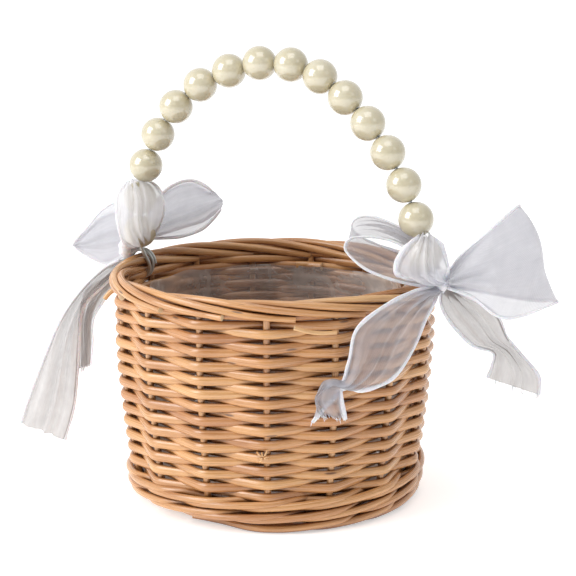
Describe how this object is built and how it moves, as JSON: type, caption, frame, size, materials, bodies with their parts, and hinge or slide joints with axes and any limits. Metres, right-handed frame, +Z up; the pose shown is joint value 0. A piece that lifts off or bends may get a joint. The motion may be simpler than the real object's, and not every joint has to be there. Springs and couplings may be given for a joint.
{
  "type": "flower girl basket",
  "caption": "Small round woven willow basket with a film liner, an arched handle of pearl beads on wire and a sheer ribbon bow at each foot.",
  "frame": {"origin": "centre of the basket's flat underside, on the surface it stands on", "axes": "+Z up; the handle stands in the XZ plane with its feet at -X and +X; -Y is the basket's front"},
  "size_m": [0.2511, 0.1552, 0.2102],
  "materials": {
    "willow": "satin",
    "film": "gloss",
    "wire": "satin",
    "pearl": "gloss",
    "ribbon": "satin"
  },
  "bodies": {
    "basket": {"side_stake_01": "willow", "side_stake_02": "willow", "side_stake_03": "willow", "side_stake_04": "willow", "side_stake_05": "willow", "side_stake_06": "willow", "side_stake_07": "willow", "side_stake_08": "willow", "side_stake_09": "willow", "side_stake_10": "willow", "side_stake_11": "willow", "side_stake_12": "willow", "side_stake_13": "willow", "side_stake_14": "willow", "side_stake_15": "willow", "base_stick_through_a": "willow", "base_stick_through_b": "willow", "base_stick_split_a": "willow", "base_stick_split_b": "willow", "base_weave": "willow", "bottom_waling": "willow", "side_weave": "willow", "top_waling": "willow", "border": "willow", "film_liner": "film", "bow_right_outer_tail": "ribbon", "bow_right_wall_tail": "ribbon", "bow_left_outer_tail": "ribbon", "bow_left_back_tail": "ribbon"},
    "handle": {"handle_wire": "wire", "bow_right_knot": "ribbon", "bow_right_inner_loop": "ribbon", "bow_right_wrap": "ribbon", "bow_right_outer_loop": "ribbon", "bow_left_knot": "ribbon", "bow_left_inner_loop": "ribbon", "bow_left_wrap": "ribbon", "bow_left_outer_loop": "ribbon"},
    "pearl_01": {"pearl_01": "pearl"},
    "pearl_02": {"pearl_02": "pearl"},
    "pearl_03": {"pearl_03": "pearl"},
    "pearl_04": {"pearl_04": "pearl"},
    "pearl_05": {"pearl_05": "pearl"},
    "pearl_06": {"pearl_06": "pearl"},
    "pearl_07": {"pearl_07": "pearl"},
    "pearl_08": {"pearl_08": "pearl"},
    "pearl_09": {"pearl_09": "pearl"},
    "pearl_10": {"pearl_10": "pearl"},
    "pearl_11": {"pearl_11": "pearl"},
    "pearl_12": {"pearl_12": "pearl"},
    "pearl_13": {"pearl_13": "pearl"},
    "pearl_14": {"pearl_14": "pearl"},
    "pearl_15": {"pearl_15": "pearl"},
    "pearl_16": {"pearl_16": "pearl"}
  },
  "joints": [
    {"name": "handle_rock", "type": "hinge", "parent": "basket", "child": "handle", "pos_m": [0, 0, 0.103], "axis": [1, 0, 0], "range_deg": [-10, 10]},
    {"name": "pearl_01_spin", "type": "hinge", "parent": "handle", "child": "pearl_01", "pos_m": [-0.0709, -0.0047, 0.1198], "axis": [-0.0556, -0.0338, 0.9979], "continuous": true},
    {"name": "pearl_02_spin", "type": "hinge", "parent": "handle", "child": "pearl_02", "pos_m": [-0.0706, -0.0048, 0.13608], "axis": [0.1016, 0.0264, 0.9945], "continuous": true},
    {"name": "pearl_03_spin", "type": "hinge", "parent": "handle", "child": "pearl_03", "pos_m": [-0.0674, -0.0038, 0.15201], "axis": [0.2806, 0.0882, 0.9558], "continuous": true},
    {"name": "pearl_04_spin", "type": "hinge", "parent": "handle", "child": "pearl_04", "pos_m": [-0.06147, -0.00202, 0.16706], "axis": [0.4534, 0.1245, 0.8826], "continuous": true},
    {"name": "pearl_05_spin", "type": "hinge", "parent": "handle", "child": "pearl_05", "pos_m": [-0.05257, 0.00016, 0.1805], "axis": [0.6486, 0.1386, 0.7484], "continuous": true},
    {"name": "pearl_06_spin", "type": "hinge", "parent": "handle", "child": "pearl_06", "pos_m": [-0.04047, 0.00236, 0.19112], "axis": [0.8291, 0.1207, 0.546], "continuous": true},
    {"name": "pearl_07_spin", "type": "hinge", "parent": "handle", "child": "pearl_07", "pos_m": [-0.02591, 0.00397, 0.19818], "axis": [0.9364, 0.076, 0.3425], "continuous": true},
    {"name": "pearl_08_spin", "type": "hinge", "parent": "handle", "child": "pearl_08", "pos_m": [-0.01019, 0.00479, 0.20225], "axis": [0.9914, 0.0207, 0.1293], "continuous": true},
    {"name": "pearl_09_spin", "type": "hinge", "parent": "handle", "child": "pearl_09", "pos_m": [0.00606, 0.00462, 0.20216], "axis": [0.9877, -0.0426, -0.1502], "continuous": true},
    {"name": "pearl_10_spin", "type": "hinge", "parent": "handle", "child": "pearl_10", "pos_m": [0.02153, 0.00344, 0.19737], "axis": [0.8974, -0.0991, -0.43], "continuous": true},
    {"name": "pearl_11_spin", "type": "hinge", "parent": "handle", "child": "pearl_11", "pos_m": [0.03507, 0.00155, 0.18855], "axis": [0.7819, -0.1155, -0.6126], "continuous": true},
    {"name": "pearl_12_spin", "type": "hinge", "parent": "handle", "child": "pearl_12", "pos_m": [0.0471, -0.00016, 0.17771], "axis": [0.69, -0.0882, -0.7184], "continuous": true},
    {"name": "pearl_13_spin", "type": "hinge", "parent": "handle", "child": "pearl_13", "pos_m": [0.05748, -0.00128, 0.16521], "axis": [0.5751, -0.0534, -0.8163], "continuous": true},
    {"name": "pearl_14_spin", "type": "hinge", "parent": "handle", "child": "pearl_14", "pos_m": [0.06575, -0.00189, 0.1512], "axis": [0.4391, -0.0185, -0.8982], "continuous": true},
    {"name": "pearl_15_spin", "type": "hinge", "parent": "handle", "child": "pearl_15", "pos_m": [0.0718, -0.00181, 0.13608], "axis": [0.3087, 0.0448, -0.9501], "continuous": true},
    {"name": "pearl_16_spin", "type": "hinge", "parent": "handle", "child": "pearl_16", "pos_m": [0.07601, -0.00062, 0.12039], "axis": [0.2243, 0.0233, -0.9742], "continuous": true}
  ]
}
